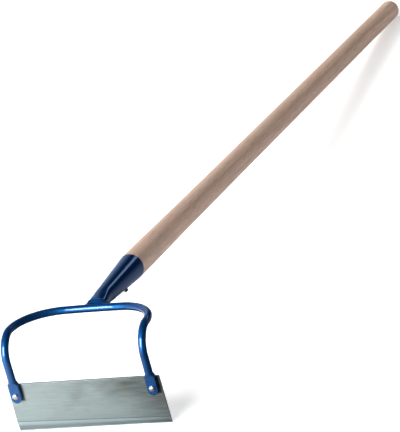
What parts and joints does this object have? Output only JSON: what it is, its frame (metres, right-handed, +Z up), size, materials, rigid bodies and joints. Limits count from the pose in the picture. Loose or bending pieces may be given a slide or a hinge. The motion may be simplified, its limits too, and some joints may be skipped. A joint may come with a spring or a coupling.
{
  "type": "loop hoe",
  "caption": "Long-handled loop hoe: a flat rectangular blade riveted to the forged ends of a bent rod bow, welded to a conical socket on a wooden pole.",
  "frame": {"origin": "centre of the bottom of the tool's box, on the floor it rests on with the cutting edge and the handle's tip", "axes": "+Z up from the floor, +Y from the blade towards the handle's tip, +X along the blade to the right when looking along +Y"},
  "size_m": [0.1616, 1.3514, 0.1118],
  "materials": {
    "ash_wood": "turned and sanded, unvarnished",
    "blue_enamel": "gloss enamel",
    "ground_steel": "ground, brushed along the blade",
    "zinc_steel": "bright zinc plating"
  },
  "bodies": {
    "root": {"handle": "ash_wood", "socket": "blue_enamel", "bow": "blue_enamel", "weld_bead": "blue_enamel", "blade": "ground_steel", "rivet_left": "zinc_steel", "rivet_right": "zinc_steel", "socket_nail": "zinc_steel"}
  },
  "joints": []
}
